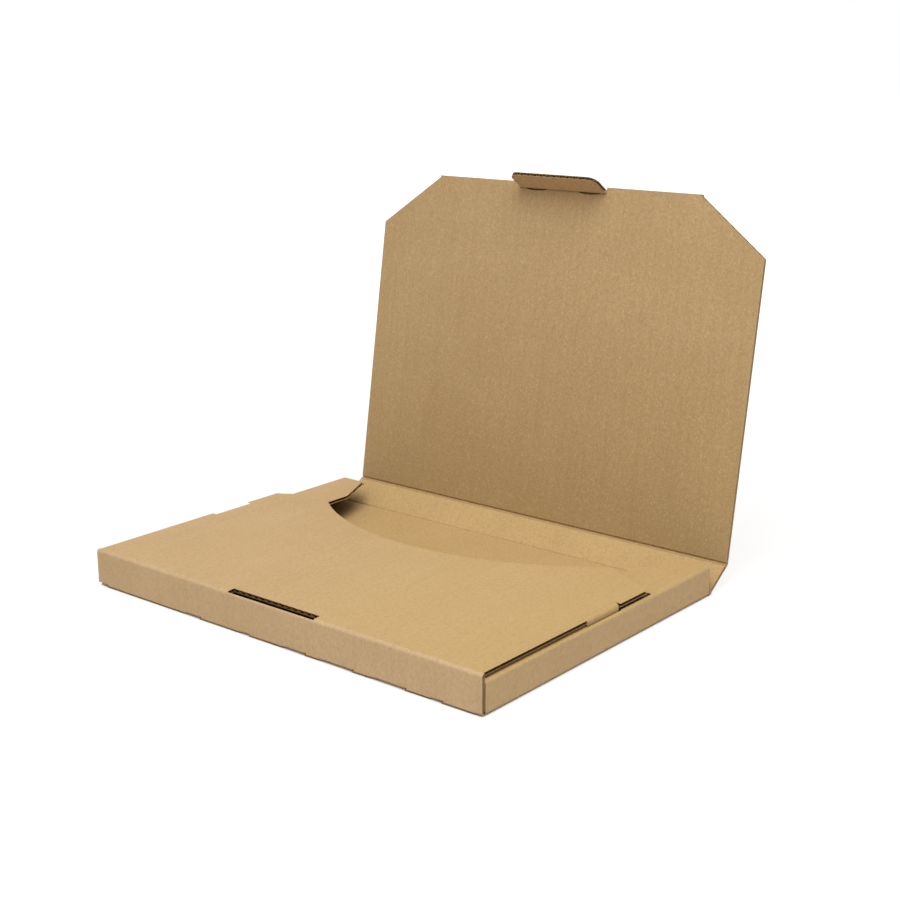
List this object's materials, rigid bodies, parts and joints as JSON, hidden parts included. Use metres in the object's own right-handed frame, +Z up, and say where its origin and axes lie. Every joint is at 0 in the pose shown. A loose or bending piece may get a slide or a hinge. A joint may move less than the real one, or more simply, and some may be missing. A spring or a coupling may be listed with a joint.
{
  "type": "mailer box",
  "caption": "Shallow brown corrugated mailer box, shown open, with a locked front panel over side flaps and a hinged lid with cut corners and a tuck tab",
  "frame": {"origin": "centre of the tray's underside, halfway between the front face and the rear face of the upright rear wall", "axes": "+X along the width to the right, +Y to the rear wall and the lid, +Z up"},
  "size_m": [0.34, 0.3111, 0.2698],
  "materials": {
    "board": "matte brown kraft liner over fluted medium",
    "board_inner": "matte brown kraft liner, inner side, slightly darker"
  },
  "bodies": {
    "tray": {"tray": "board"},
    "rear_wall": {"rear_wall": "board_inner"},
    "lid": {"lid": "board_inner"},
    "tuck_tab": {"tuck_tab": "board_inner"}
  },
  "joints": [
    {"name": "rear_fold", "type": "hinge", "parent": "tray", "child": "rear_wall", "pos_m": [0, 0.12375, 0.00125], "axis": [1, 0, 0], "range_deg": [-34, 56]},
    {"name": "lid_fold", "type": "hinge", "parent": "rear_wall", "child": "lid", "pos_m": [0, 0.14597, 0.01624], "axis": [1, 0, 0], "range_deg": [-47, 43]},
    {"name": "tab_fold", "type": "hinge", "parent": "lid", "child": "tuck_tab", "pos_m": [0, 0.18423, 0.25783], "axis": [1, 0, 0], "range_deg": [-65, 25]}
  ]
}
